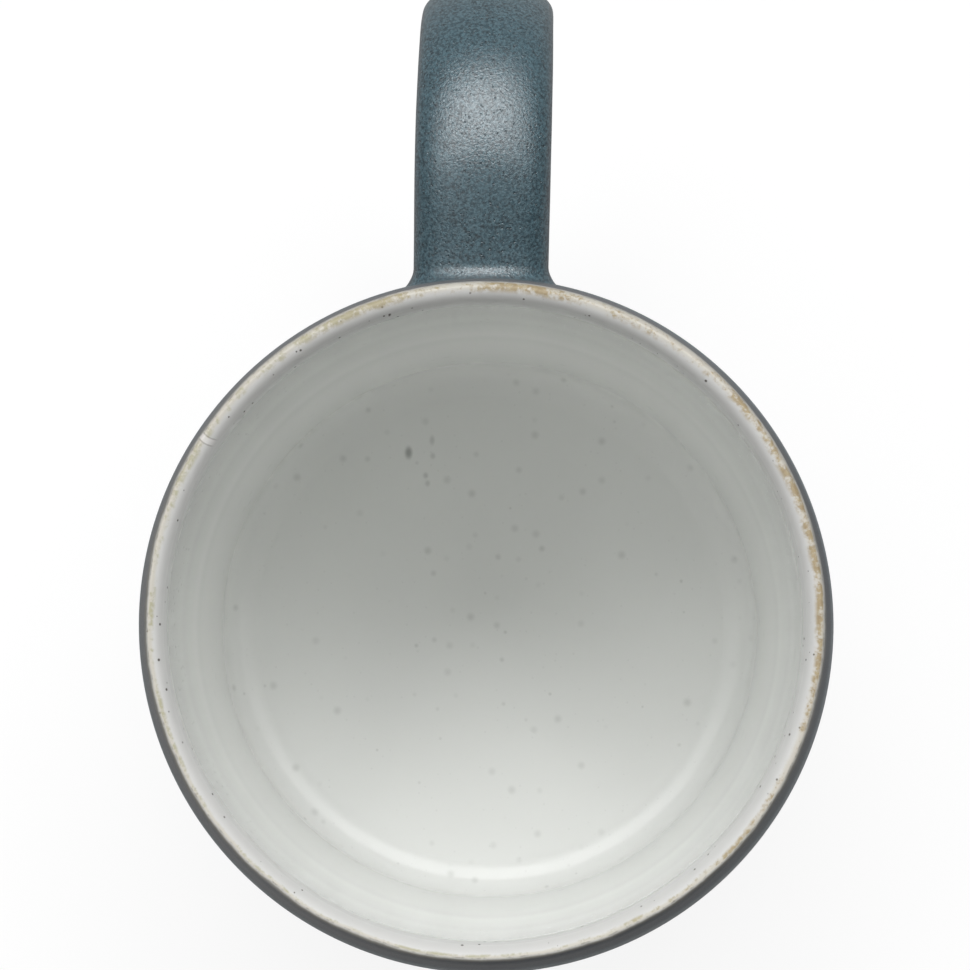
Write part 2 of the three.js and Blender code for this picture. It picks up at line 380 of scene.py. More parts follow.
def grown(name, tree, sizes):
    """Runs a tree with its sizes and keeps the result as one plain closed mesh."""
    piece = bpy.data.objects.new(name, bpy.data.meshes.new(name))
    scene.collection.objects.link(piece)
    maker = piece.modifiers.new("maker", "NODES")
    maker.node_group = tree
    for item in tree.interface.items_tree:
        if item.in_out == "INPUT":
            maker[item.identifier] = sizes[item.name]
    depsgraph = bpy.context.evaluated_depsgraph_get()
    plain = bpy.data.meshes.new_from_object(piece.evaluated_get(depsgraph), depsgraph=depsgraph)
    piece.modifiers.remove(maker)
    piece.data = plain
    plain.name = name
    shell = bmesh.new()
    shell.from_mesh(plain)
    bmesh.ops.remove_doubles(shell, verts=shell.verts, dist=1e-7)
    open_edges = [edge for edge in shell.edges if edge.is_boundary]
    if open_edges:
        bmesh.ops.holes_fill(shell, edges=open_edges, sides=0)
    bmesh.ops.recalc_face_normals(shell, faces=shell.faces)
    shell.to_mesh(plain)
    shell.free()
    return piece


# Profiles of the mug, as points of radius and height
def lip_point(degrees):
    """A point on the lip, by its angle from the outer side: a short bend outside, a long one inside."""
    turn = math.radians(degrees)
    half, drop = (lip_outer_half, lip_outer_drop) if degrees < 90 else (lip_inner_half, lip_inner_drop)
    return (crown_radius + half * math.cos(turn), crown_height - drop * (1 - math.sin(turn)))


def lip_stretch(start, end, steps):
    """Points along the lip between two angles."""
    return [lip_point(degrees) for degrees in even_steps(start, end, steps)]


def leaning_angle(radius_change, height_change, half, drop):
    """The lip's angle at which it runs on in line with a wall that leans by this much."""
    return math.degrees(math.atan(radius_change / height_change * drop / half))


def weighed(shares, places):
    """The place that lies between some places by their shares."""
    return tuple(sum(share * place[i] for share, place in zip(shares, places)) for i in (0, 1))


def curved_wall(start, knee, end, steps):
    """A wall that leaves start along the line to the knee and arrives at end along the line from it."""
    points = []
    for step in range(steps + 1):
        t = step / steps
        points.append(weighed(((1 - t) ** 2, 2 * t * (1 - t), t * t), (start, knee, end)))
    return points


def upright_wall(start, end, steps):
    """A wall that stands upright at both ends."""
    points = []
    for step in range(steps + 1):
        t = step / steps
        ease = t * t * (3 - 2 * t)
        points.append((start[0] + (end[0] - start[0]) * ease, start[1] + (end[1] - start[1]) * t))
    return points


def oval_stretch(middle, half_width, half_height, start, end, steps):
    """Points on an oval between two angles."""
    points = []
    for step in range(steps + 1):
        turn = math.radians(start + (end - start) * step / steps)
        points.append((middle[0] + half_width * math.cos(turn), middle[1] + half_height * math.sin(turn)))
    return points


def even_steps(start, end, steps):
    """Numbers at even steps from start to end."""
    return [start + (end - start) * step / steps for step in range(steps + 1)]


def rising_bend(start, radius, first_slope, last_slope, steps):
    """Points along a round bend that leaves start at one slope and ends at another, in degrees."""
    points = []
    for slope in even_steps(math.radians(first_slope), math.radians(last_slope), steps):
        across = radius * (math.sin(slope) - math.sin(math.radians(first_slope)))
        upward = radius * (math.cos(math.radians(first_slope)) - math.cos(slope))
        points.append((start[0] + across, start[1] + upward))
    return points


def bend_radius(width, first_slope, last_slope):
    """The radius of a bend that covers a width between two slopes, in degrees."""
    return width / (math.sin(math.radians(last_slope)) - math.sin(math.radians(first_slope)))


def dished(radius):
    """The height of the floor, which rises a little towards its edge."""
    return floor_top + floor_dish * (radius / floor_radius) ** 2


def ring_height(height):
    """How far the throwing rings on the inner wall stand out at a height."""
    total = 0.0
    for middle, tall, width in throwing_rings:
        total += tall * math.exp(-(((height - middle) / width) ** 2))
    return total


def inset_line(points, depth):
    """The same line set in by a depth, to the right of its direction."""
    moved = []
    last = len(points) - 1
    for index, point in enumerate(points):
        before = points[max(index - 1, 0)]
        after = points[min(index + 1, last)]
        run = (after[0] - before[0], after[1] - before[1])
        size = math.hypot(*run)
        inward = run[1] / size * depth if point[0] else 0.0
        moved.append((max(point[0] - inward, 0.0), point[1] + run[0] / size * depth))
    return moved


def one_line(*stretches):
    """Stretches joined into one line, without doubled points."""
    line = []
    for point in (point for stretch in stretches for point in stretch):
        if not line or math.dist(point, line[-1]) > 1e-6:
            line.append(point)
    return line


outer_edge = crown_radius + lip_outer_half
neck_radius = crown_radius - lip_inner_half
mid_height = (lip_height + belly_height) / 2
half_wall = (lip_height - belly_height) / 2
outer_lip = leaning_angle(belly_radius - outer_edge, half_wall, lip_outer_half, lip_outer_drop)
inner_lip = 180 + leaning_angle(inner_belly_radius - neck_radius, half_wall, lip_inner_half, lip_inner_drop)

heel_line = oval_stretch(
    (foot_radius, heel_height), heel_radius - foot_radius, heel_height - foot_height, -88, 0, fillet_steps
)
outer_line = one_line(
    heel_line,
    upright_wall((heel_radius, heel_height), (belly_radius, belly_height), wall_steps),
    curved_wall((belly_radius, belly_height), (belly_radius, mid_height), lip_point(outer_lip), wall_steps),
    lip_stretch(outer_lip, toast_start, lip_steps // 2),
)
toast_line = lip_stretch(toast_start, toast_end, lip_steps)
floor_edge = (floor_radius, dished(floor_radius))
band_radius = bend_radius(floor_band, band_slope, band_end_slope)
first_bend = rising_bend(floor_edge, band_radius, band_slope, band_end_slope, fillet_steps)
band_end = first_bend[-1]
cove_radius = bend_radius(cavity_radius - band_end[0], band_end_slope, 90)
floor_bend = one_line(first_bend, rising_bend(band_end, cove_radius, band_end_slope, 90, 2 * fillet_steps))
inner_knee = (inner_belly_radius, mid_height)
inner_belly = (inner_belly_radius, belly_height)
inner_line = one_line(
    lip_stretch(toast_end, inner_lip, lip_steps),
    curved_wall(lip_point(inner_lip), inner_knee, inner_belly, wall_steps),
    upright_wall(inner_belly, floor_bend[-1], 2 * wall_steps),
    floor_bend[::-1],
    [(radius, dished(radius)) for radius in even_steps(floor_radius, 0.0, wall_steps)],
)
inner_line = [(max(radius - ring_height(height), 0.0), height) for radius, height in inner_line]
foot_inside = foot_radius - foot_width
foot_line = one_line(
    [(0.0, well_top + glaze_depth), (foot_inside - well_slope - 0.5, well_top + glaze_depth)],
    [(foot_inside - 0.4, foot_height - 0.6)],
    oval_stretch((foot_inside + foot_edge, foot_edge), foot_edge, foot_edge, 180, 270, edge_steps),
    oval_stretch((foot_radius - foot_edge, foot_edge), foot_edge, foot_edge, 270, 360, edge_steps),
    [(foot_radius - 0.05, foot_height - 0.4), (foot_radius + 0.1, foot_height + glaze_depth)],
)
well_line = [
    (0.0, well_top),
    (foot_inside - well_slope - 2.0, well_top),
    (foot_inside - well_slope, well_top - 0.1),
    (foot_inside - 1.0, foot_height - 0.9),
    (foot_inside - 0.4, foot_height - 1.0),
]


def sparse(points):
    """Every third point of a long line and its last, for surfaces that stay hidden."""
    return points[:-1:3] + points[-1:] if len(points) > 20 else points


def coat_profile(line):
    """A coat of glaze: its surface and its underside, as one line that starts at the axis if it can."""
    under = sparse(inset_line(line, glaze_depth))[::-1]
    return under + line if line[-1][0] == 0 else line + under


def clay_profile():
    """The clay under all the coats, bare at the foot."""
    covered = one_line(outer_line, toast_line, inner_line)
    return one_line(foot_line, sparse(inset_line(covered, glaze_depth)[3:]))


guide_radius = 20.0
turning = make_turning()
strapping = make_strapping()


def turned_piece(name, line, closed, material, wave=0.0):
    """A piece turned about the mug's axis from a profile line."""
    points = [((radius - guide_radius) * MM, -height * MM, 0) for radius, height in line]
    profile = drawn_curve(name + "_profile", points, closed)
    piece = grown(
        name,
        turning,
        {
            "Profile": profile,
            "Turn steps": turn_steps,
            "Guide radius": guide_radius * MM,
            "Axis": axis_place,
            "Stray": clay_stray * MM,
            "Stray scale": 22.0,
            "Hem wave": wave * MM,
            "Hem height": 6.0 * MM,
            "Hem scale": 260.0,
            "Seed": 3,
            "Sharp angle": math.radians(50),
            "Material": material,
        },
    )
    bpy.data.objects.remove(profile)
    return piece


# The handle's path, from the upper seat round to the lower one
def along_bend(start, lean_out, lean_in, end, steps):
    """Points along a smooth bend between two places."""
    points = []
    for step in range(1, steps + 1):
        t = step / steps
        shares = ((1 - t) ** 3, 3 * t * (1 - t) ** 2, 3 * t * t * (1 - t), t**3)
        points.append(weighed(shares, (start, lean_out, lean_in, end)))
    return points


def stepped(place, direction, distance):
    """A place moved along a direction."""
    return (place[0] + direction[0] * distance, place[1] + direction[1] * distance)


def handle_points():
    """The strap's middle line, with close points at the roots and the small skew of a hand-set handle."""
    upper_out = (math.cos(math.radians(upper_rise)), math.sin(math.radians(upper_rise)))
    lower_out = (math.cos(math.radians(lower_rise)), math.sin(math.radians(lower_rise)))
    upper_end = stepped(upper_seat, upper_out, root_stretch)
    lower_end = stepped(lower_seat, lower_out, root_stretch)
    quarter = 4 / 3 * (math.sqrt(2) - 1)
    rise = math.dist(arch_top, upper_end) / 3
    fall = outer_side[1] - lower_end[1]
    near = [root_stretch * (1 - math.cos(turn)) for turn in even_steps(0, math.pi / 2, root_steps)]
    line = [stepped(upper_seat, upper_out, distance) for distance in near]
    line += along_bend(
        upper_end,
        stepped(upper_end, upper_out, rise),
        (arch_top[0] - rise, arch_top[1]),
        arch_top,
        path_steps // 3,
    )
    line += along_bend(
        arch_top,
        (arch_top[0] + arch_flatness * (outer_side[0] - arch_top[0]), arch_top[1]),
        (outer_side[0], outer_side[1] + quarter * (arch_top[1] - outer_side[1])),
        outer_side,
        path_steps,
    )
    line += along_bend(
        outer_side,
        (outer_side[0], outer_side[1] - quarter * fall),
        stepped(lower_end, lower_out, quarter * (outer_side[0] - lower_end[0])),
        lower_end,
        path_steps,
    )
    line += [stepped(lower_seat, lower_out, distance) for distance in near[-2::-1]]
    skew = math.tan(math.radians(handle_skew))
    return [Vector((x * MM, (skew_centre - x) * skew * MM, z * MM)) + axis_place for x, z in line]


def placed(tree, group, **fills):
    """A shared effect placed in a material with its own values."""
    node = tree.nodes.new("ShaderNodeGroup")
    node.node_tree = group
    for name, value in fills.items():
        key = name.replace("_", " ").capitalize()
        if isinstance(value, bpy.types.NodeSocket):
            tree.links.new(value, node.inputs[key])
        else:
            node.inputs[key].default_value = value
    return node.outputs


# Shared effects of the glazes and the clay
def make_specks():
    """Round specks of many sizes, scattered through the glaze."""
    tree, given, result = new_group(
        "specks",
        "ShaderNodeTree",
        [
            ("Vector", VECTOR, None),
            ("Cells per metre", FLOAT, 300.0),
            ("Largest", FLOAT, 0.2),
            ("Softness", FLOAT, 0.4),
            ("Share", FLOAT, 0.3),
            ("Seed", FLOAT, 0.0),
        ],
        [("Mask", FLOAT)],
    )
    aside = put(tree, "ShaderNodeCombineXYZ", {axis: given["Seed"] for axis in "XYZ"}).outputs[0]
    shifted = vector_calc(tree, "ADD", given["Vector"], aside)
    fills = {"Vector": shifted, "Scale": given["Cells per metre"], "Randomness": 1.0}
    cells = put(tree, "ShaderNodeTexVoronoi", fills, voronoi_dimensions="3D").outputs
    chance = put(tree, "ShaderNodeSeparateColor", {0: cells["Color"]}).outputs
    size = calc(tree, "MULTIPLY", given["Largest"], fade(tree, chance["Green"], 0.0, 1.0, 0.3, 1.0))
    heart = calc(tree, "MULTIPLY", size, calc(tree, "SUBTRACT", 1.0, given["Softness"]))
    spot = fade(tree, cells["Distance"], size, heart)
    chosen = calc(tree, "LESS_THAN", chance["Red"], given["Share"])
    tree.links.new(calc(tree, "MULTIPLY", spot, chosen), result["Mask"])
    return tree


def make_mottle():
    """Clouds in a glaze or a clay, with a set contrast."""
    tree, given, result = new_group(
        "mottle",
        "ShaderNodeTree",
        [
            ("Vector", VECTOR, None),
            ("Scale", FLOAT, 300.0),
            ("Detail", FLOAT, 3.0),
            ("Contrast", FLOAT, 0.25),
            ("Seed", FLOAT, 0.0),
        ],
        [("Value", FLOAT)],
    )
    cloud = noise(tree, given["Vector"], given["Scale"], given["Detail"], 0.6, given["Seed"])
    low = calc(tree, "SUBTRACT", 0.5, given["Contrast"])
    high = calc(tree, "ADD", 0.5, given["Contrast"])
    tree.links.new(fade(tree, cloud, low, high), result["Value"])
    return tree


def make_mug_place():
    """A point's place on the mug: distance from the axis, height, turn and share in the lip."""
    tree, given, result = new_group(
        "mug_place",
        "ShaderNodeTree",
        [("Vector", VECTOR, None)],
        [("Radius", FLOAT), ("Height", FLOAT), ("Azimuth", FLOAT), ("On lip", FLOAT)],
    )
    centred = vector_calc(tree, "SUBTRACT", given["Vector"], tuple(axis_place))
    split = put(tree, "ShaderNodeSeparateXYZ", {0: centred}).outputs
    flat = vector_calc(tree, "MULTIPLY", centred, (1, 1, 0))
    tree.links.new(vector_length(tree, flat), result["Radius"])
    tree.links.new(split["Z"], result["Height"])
    tree.links.new(calc(tree, "ARCTAN2", split["Y"], split["X"]), result["Azimuth"])
    on_lip = fade(tree, split["Z"], (lip_height - 0.4) * MM, (lip_height + 0.6) * MM)
    tree.links.new(on_lip, result["On lip"])
    return tree


mug_place = make_mug_place()


# The lip's bands in millimetres, counted inward from the border of the outer glaze
border_inside = 0.12
border_outside = -0.3
thin_start = -0.7
edge_half = 0.13
edge_core = 0.03
halo_full = 0.5
halo_end = 1.3
toast_clear = 0.04
toast_near = 0.2
toast_full = 0.75
toast_last = 1.5
seam_middle = 0.8
seam_full = 1.5
seam_last = 2.0
seam_core = 0.3
seam_bow = 250.0

# How the toast gathers: its share of each noise, and the level and half width of its cut
toast_side = 0.045
toast_regions = 0.75
toast_fine = 0.8
toast_crumbs = 0.45
toast_bar = 1.5
bar_below = 0.09
bar_above = 0.1

# How wide the bands are, and how much wider where the border leans out
band_width = 0.75
band_swing = 0.42

# The rim's heights and radii in millimetres, where a painted grey sheen lies on the outer glaze
rim_low = 79.0
rim_high = 91.0
rim_full = 43.6
rim_end = 44.8


def make_lip_break():
    """Where the outer glaze ends on the lip, how it thins there, and where the band beyond is toasted."""
    tree, given, result = new_group(
        "lip_break",
        "ShaderNodeTree",
        [
            ("Vector", VECTOR, None),
            ("Border", FLOAT, 41.56 * MM),
            ("Lean", FLOAT, 0.5 * MM),
            ("Lean turn", FLOAT, -0.3),
            ("Wander", FLOAT, 0.9 * MM),
            ("Toasting", FLOAT, 0.5),
            ("Toast turn", FLOAT, -1.15),
            ("Painted shade turn", FLOAT, -2.15),
            ("Seam turn", FLOAT, 0.995),
            ("Seam half", FLOAT, 0.46 * MM),
            ("Outer wall", FLOAT, 0.0),
        ],
        [
            ("Outer glaze", FLOAT),
            ("Thin glaze", FLOAT),
            ("Edge", FLOAT),
            ("Halo", FLOAT),
            ("Toast", FLOAT),
            ("Ochre", FLOAT),
            ("Seam", FLOAT),
            ("Seam edge", FLOAT),
            ("Rim", FLOAT),
            ("Rim painted shade", FLOAT),
        ],
    )
    here = given["Vector"]
    place = placed(tree, mug_place, vector=here)
    azimuth = place["Azimuth"]
    on_lip = place["On lip"]

    # The border, which wanders and leans, and the distance inward from it
    wide = noise(tree, here, 150.0, 5.0, 0.65, 4.0)
    border = calc(tree, "MULTIPLY_ADD", calc(tree, "SUBTRACT", wide, 0.5), given["Wander"], given["Border"])
    leaning = facing(tree, azimuth, given["Lean turn"])
    border = calc(tree, "MULTIPLY_ADD", leaning, given["Lean"], border)
    past = calc(tree, "SUBTRACT", border, place["Radius"])
    off_lip = calc(tree, "MULTIPLY", calc(tree, "SUBTRACT", 1.0, on_lip), given["Outer wall"])
    outside = fade(tree, past, border_inside * MM, border_outside * MM)
    outside = calc(tree, "MULTIPLY_ADD", outside, on_lip, off_lip)
    thin = fade(tree, past, thin_start * MM, 0.0)
    ragged = noise(tree, here, 900.0, 4.0, 0.6, 5.0)
    line = fade(tree, calc(tree, "ABSOLUTE", past), edge_half * MM, edge_core * MM)
    edge = calc(tree, "MULTIPLY", line, fade(tree, ragged, 0.46, 0.62))

    # The halo and the toast inside the border
    starting = fade(tree, past, -0.1 * MM, 0.05 * MM)
    into = calc(tree, "DIVIDE", past, calc(tree, "MULTIPLY_ADD", leaning, band_swing, band_width))
    halo = calc(tree, "MULTIPLY", starting, fade(tree, into, halo_end * MM, halo_full * MM))
    fine = noise(tree, here, 850.0, 4.0, 0.65, 9.0)
    regions = noise(tree, here, 95.0, 2.0, 0.5, 2.0)
    crumbs = noise(tree, here, 2200.0, 2.0, 0.6, 19.0)
    sided = facing(tree, azimuth, given["Toast turn"])
    wanted = calc(tree, "MULTIPLY_ADD", sided, toast_side, calc(tree, "MULTIPLY", regions, toast_regions))
    wanted = calc(tree, "MULTIPLY_ADD", fine, toast_fine, wanted)
    wanted = calc(tree, "MULTIPLY_ADD", crumbs, toast_crumbs, wanted)
    bar = calc(tree, "SUBTRACT", toast_bar, given["Toasting"])
    burnt = fade(tree, wanted, calc(tree, "SUBTRACT", bar, bar_below), calc(tree, "ADD", bar, bar_above))
    near = fade(tree, past, toast_clear * MM, toast_near * MM)
    band = calc(tree, "MULTIPLY", near, fade(tree, into, toast_last * MM, toast_full * MM))
    toast = calc(tree, "MULTIPLY", burnt, band)
    ochred = fade(tree, sided, -0.4, 0.6)

    # The rim under the lip, greyed as a painted sheen and darker on one side as painted shade
    above = fade(tree, place["Height"], rim_low * MM, rim_high * MM)
    painted_rim = calc(tree, "MULTIPLY", above, fade(tree, place["Radius"], rim_end * MM, rim_full * MM))
    # Painted shade: the rim is darker on the side turned away from the soft box
    rim_painted_shade = fade(tree, facing(tree, azimuth, given["Painted shade turn"]), -0.1, 0.8)

    # The seam across the lip, bowed, with a fine line on either side
    turned = calc(tree, "SUBTRACT", azimuth, given["Seam turn"])
    inward = calc(tree, "SUBTRACT", past, seam_middle * MM)
    bowed = calc(tree, "MULTIPLY", calc(tree, "MULTIPLY", inward, inward), seam_bow)
    aside = calc(tree, "ABSOLUTE", calc(tree, "MULTIPLY_ADD", turned, place["Radius"], bowed))
    crossing = calc(tree, "MULTIPLY", starting, fade(tree, past, seam_last * MM, seam_full * MM))
    seam = calc(tree, "MULTIPLY", crossing, fade(tree, aside, given["Seam half"], seam_core * MM))
    from_edge = calc(tree, "ABSOLUTE", calc(tree, "SUBTRACT", aside, given["Seam half"]))
    seam_edge = calc(tree, "MULTIPLY", crossing, fade(tree, from_edge, 0.15 * MM, 0.04 * MM))

    on_wall_too = {"Outer glaze": outside, "Rim": painted_rim, "Rim painted shade": rim_painted_shade, "Ochre": ochred}
    for label, mask in on_wall_too.items():
        tree.links.new(mask, result[label])
    lip_only = {"Thin glaze": thin, "Edge": edge, "Halo": halo, "Toast": toast}
    lip_only |= {"Seam": seam, "Seam edge": seam_edge}
    for label, mask in lip_only.items():
        tree.links.new(calc(tree, "MULTIPLY", mask, on_lip), result[label])
    return tree


specks = make_specks()
mottle = make_mottle()
lip_break = make_lip_break()


def new_material(name, roughness, refraction):
    """A material with a plain shader, its node tree and the place on the object."""
    material = bpy.data.materials.new(name)
    material.use_nodes = True
    tree = material.node_tree
    shader = tree.nodes["Principled BSDF"]
    shader.inputs["Roughness"].default_value = roughness
    shader.inputs["IOR"].default_value = refraction
    here = put(tree, "ShaderNodeTexCoord").outputs["Object"]
    return material, tree, shader.inputs, here


def bumped(tree, height, distance):
    """A normal that follows small heights, in metres."""
    fills = {"Height": height, "Distance": distance, "Strength": 1.0}
    return put(tree, "ShaderNodeBump", fills).outputs["Normal"]


liner_white = paint(233, 234, 232)
liner_grey = paint(228, 229, 227)
lip_white = paint(202, 202, 200)
speck_brown = paint(64, 56, 50)
soft_grey = paint(120, 122, 114)
smudge_grey = paint(72, 76, 70)
cream = paint(190, 185, 171)
ochre = paint(163, 145, 106)
deep_ochre = paint(142, 121, 82)
olive = paint(166, 163, 136)
seam_white = paint(214, 212, 210)
edge_brown = paint(84, 76, 62)
thin_slate = paint(134, 130, 119)
# A painted grey sheen on the rim under the lip, in place of the glaze's grazing reflection
rim_sheen_grey = paint(106, 105, 106)
# Painted shade on the rim's side away from the light
rim_shade = paint(64, 65, 70)
denim = paint(37, 67, 78)
denim_dark = paint(2, 30, 39)
denim_light = paint(97, 126, 136)
pit_dark = paint(6, 28, 35)
mauve_grey = paint(80, 78, 82)
buff = paint(194, 170, 138)
buff_dark = paint(160, 134, 104)

# Marks on the liner's floor in millimetres: place from the mug's axis, half length, half width, strength
mark_edge = 1.2
mark_heart = 0.2
floor_marks = (
    ((26.9, 12.4), 1.15, 0.7, 0.5),
    ((28.8, 8.8), 0.9, 0.5, 0.22),
    ((26.4, 8.7), 0.6, 0.5, 0.2),
    ((23.4, 9.8), 0.6, 0.5, 0.24),
    ((22.2, 9.5), 0.6, 0.5, 0.2),
)


def scattered(tree, here, **values):
    """The mask of the shared specks with these values."""
    return placed(tree, specks, vector=here, **values)["Mask"]


def lip_colours(tree, here, inside, outside, outer_wall):
    """Both glazes and the toasted band between them, in the places that the lip gives them."""
    lip = placed(tree, lip_break, vector=here, toasting=0.48, outer_wall=outer_wall)
    tone = placed(tree, mottle, vector=here, scale=1400.0, detail=3.0, contrast=0.2, seed=5.0)["Value"]
    toast = blend_colour(tree, lip["Ochre"], olive, blend_colour(tree, tone, ochre, deep_ochre))
    colour = laid_on(tree, lip["Halo"], 0.7, inside, cream)
    colour = laid_on(tree, lip["Toast"], 0.85, colour, toast)
    # The rim's painted sheen, turned to painted shade on its side away from the light
    painted_rim = blend_colour(tree, lip["Rim painted shade"], rim_sheen_grey, rim_shade)
    greyed = laid_on(tree, lip["Rim"], 0.85, outside, painted_rim)
    thinned = laid_on(tree, lip["Thin glaze"], 0.8, greyed, thin_slate)
    colour = blend_colour(tree, lip["Outer glaze"], colour, thinned)
    colour = laid_on(tree, lip["Edge"], 0.45, colour, edge_brown)
    colour = laid_on(tree, lip["Seam"], 0.7, colour, seam_white)
    return laid_on(tree, lip["Seam edge"], 0.35, colour, edge_brown), lip


def denim_colour(tree, here):
    """The blue-grey glaze: clouds, a fine grain and small dark pits."""
    clouds = placed(tree, mottle, vector=here, scale=420.0, detail=4.0, contrast=0.2, seed=1.0)["Value"]
    flecks = placed(tree, mottle, vector=here, scale=1700.0, detail=3.0, contrast=0.13, seed=18.0)["Value"]
    grain = placed(tree, mottle, vector=here, scale=2700.0, detail=2.0, contrast=0.13, seed=2.0)["Value"]
    dark = calc(tree, "MULTIPLY", flecks, fade(tree, clouds, 0.0, 1.0, 0.62, 1.0))
    colour = blend_colour(tree, dark, denim, denim_dark)
    colour = laid_on(tree, grain, 0.5, colour, denim_light)
    pits = scattered(tree, here, cells_per_metre=1900.0, largest=0.34, softness=0.6, share=0.6, seed=3.0)
    return laid_on(tree, pits, 0.7, colour, pit_dark), grain, pits


def marked_floor(tree, here, colour):
    """The few soft dark marks that bled through the glaze on the floor."""
    for (along, aside), half_length, half_width, strength in floor_marks:
        middle = axis_place + Vector((along, aside, floor_top)) * MM
        apart = vector_calc(tree, "SUBTRACT", here, tuple(middle))
        stretch = (1 / (half_length * MM), 1 / (half_width * MM), 100.0)
        scaled = vector_calc(tree, "MULTIPLY", apart, stretch)
        share = fade(tree, vector_length(tree, scaled), mark_edge, mark_heart, 0.0, strength)
        colour = blend_colour(tree, share, colour, smudge_grey)
    return colour


def white_colour(tree, here):
    """The liner: a faint cloud, fine brown specks, and grey ones that bleed where the glaze pools."""
    place = placed(tree, mug_place, vector=here)
    drawn = vector_calc(tree, "MULTIPLY", here, (1.0, 1.0, 0.15))
    cloud = placed(tree, mottle, vector=drawn, scale=35.0, detail=1.0, contrast=0.3, seed=6.0)["Value"]
    colour = blend_colour(tree, cloud, liner_white, liner_grey)
    pooled = fade(tree, place["Height"], 45 * MM, 10 * MM)
    bled = scattered(tree, here, cells_per_metre=300.0, largest=0.3, softness=1.0, share=0.9, seed=7.0)
    fine = scattered(tree, here, cells_per_metre=1100.0, largest=0.27, softness=0.6, share=0.35, seed=8.0)
    colour = laid_on(tree, bled, calc(tree, "MULTIPLY", pooled, 0.22), colour, soft_grey)
    thinned = fade(tree, place["Height"], (lip_height - 0.8) * MM, (lip_height + 1.6) * MM)
    colour = blend_colour(tree, thinned, colour, lip_white)
    clear = fade(tree, place["Height"], 55 * MM, 80 * MM, 0.06, 1.0)
    return laid_on(tree, fine, calc(tree, "MULTIPLY", clear, 0.9), colour, speck_brown), thinned


def white_liner():
    """Glossy white glaze with specks."""
    material, tree, shader, here = new_material("white_liner", 0.09, 1.27)
    white, thinned = white_colour(tree, here)
    colour = lip_colours(tree, here, marked_floor(tree, here, white), denim, 0.0)[0]
    tree.links.new(colour, shader["Base Color"])
    tree.links.new(fade(tree, thinned, 0.0, 1.0, 0.09, 0.36), shader["Roughness"])
    peel = noise(tree, here, 70.0, 1.0, 0.5, 11.0)
    tree.links.new(bumped(tree, peel, 0.00001), shader["Normal"])
    return material


def toasted_lip():
    """The band on the lip where the glaze has broken to ochre."""
    material, tree, shader, here = new_material("toasted_lip", 0.36, 1.5)
    white = white_colour(tree, here)[0]
    blue = denim_colour(tree, here)[0]
    colour, lip = lip_colours(tree, here, white, blue, 0.0)
    tree.links.new(colour, shader["Base Color"])
    tree.links.new(fade(tree, lip["Toast"], 0.0, 1.0, 0.36, 0.5), shader["Roughness"])
    peel = noise(tree, here, 700.0, 3.0, 0.55, 11.0)
    tree.links.new(bumped(tree, peel, 0.00006), shader["Normal"])
    return material


def blue_satin():
    """Satin blue-grey glaze, thinner and greyer along the strap's corners; up to the lip a painted grey
    sheen, darker on one side as painted shade.
    """
    material, tree, shader, here = new_material("blue_satin", 0.36, 1.92)
    blue, grain, pits = denim_colour(tree, here)
    corner = put(tree, "ShaderNodeAttribute", attribute_name="strap_corner").outputs["Fac"]
    ragged = placed(tree, mottle, vector=here, scale=420.0, detail=3.0, contrast=0.3, seed=12.0)["Value"]
    thin = calc(tree, "MULTIPLY", corner, fade(tree, ragged, 0.0, 1.0, 0.2, 0.5))
    worn = blend_colour(tree, thin, blue, mauve_grey)
    white = white_colour(tree, here)[0]
    colour, lip = lip_colours(tree, here, white, worn, 1.0)
    tree.links.new(colour, shader["Base Color"])
    satin = fade(tree, grain, 0.0, 1.0, 0.42, 0.34)
    # On the rim the roughness is raised, and the grazing reflection is painted into the colour as a grey
    # sheen instead
    tree.links.new(fade(tree, lip["Rim"], 0.0, 1.0, satin, 0.6), shader["Roughness"])
    grained = noise(tree, here, 3600.0, 2.0, 0.6, 13.0)
    peel = calc(tree, "SUBTRACT", grained, calc(tree, "MULTIPLY", pits, 0.6))
    tree.links.new(bumped(tree, peel, 0.00009), shader["Normal"])
    return material


def bare_clay():
    """Fired clay on the foot: buff, open grained, with grog."""
    material, tree, shader, here = new_material("bare_stoneware", 0.85, 1.45)
    cloud = placed(tree, mottle, vector=here, scale=180.0, detail=4.0, contrast=0.25, seed=14.0)["Value"]
    grog = scattered(tree, here, cells_per_metre=1100.0, largest=0.4, softness=0.4, share=0.3, seed=15.0)
    colour = laid_on(tree, cloud, 0.6, buff, buff_dark)
    colour = laid_on(tree, grog, 0.6, colour, speck_brown)
    tree.links.new(colour, shader["Base Color"])
    tree.links.new(fade(tree, cloud, 0.0, 1.0, 0.9, 0.75), shader["Roughness"])
    tooth = noise(tree, here, 1400.0, 4.0, 0.65, 16.0)
    tree.links.new(bumped(tree, tooth, 0.0002), shader["Normal"])
    return material


blue_glaze = blue_satin()
clay_finish = bare_clay()

# The pieces
clay = turned_piece("stoneware_core", clay_profile(), False, clay_finish)
liner = turned_piece("white_liner_coat", coat_profile(inner_line), False, white_liner())
toast = turned_piece("toasted_lip_line", coat_profile(toast_line), True, toasted_lip())
wall = turned_piece("blue_wall_coat", coat_profile(outer_line), True, blue_glaze, hem_wave)
well = turned_piece("blue_well_coat", coat_profile(well_line), False, blue_glaze)

path = drawn_curve("handle_path", handle_points(), False)
handle = grown(
    "blue_strap_handle",
    strapping,
    {
        "Path": path,
        "Wall": wall,
        "Width": strap_width * MM,
        "Thickness": strap_thickness * MM,
        "Section steps": section_steps,
        "Root fillet": root_fillet * MM,
        "Root bed": root_bed * MM,
        "Drape length": drape_length * MM,
        "Stray": strap_stray * MM,
        "Stray scale": 70.0,
        "Seed": 5,
        "Sharp angle": math.radians(70),
        "Material": blue_glaze,
    },
)
bpy.data.objects.remove(path)

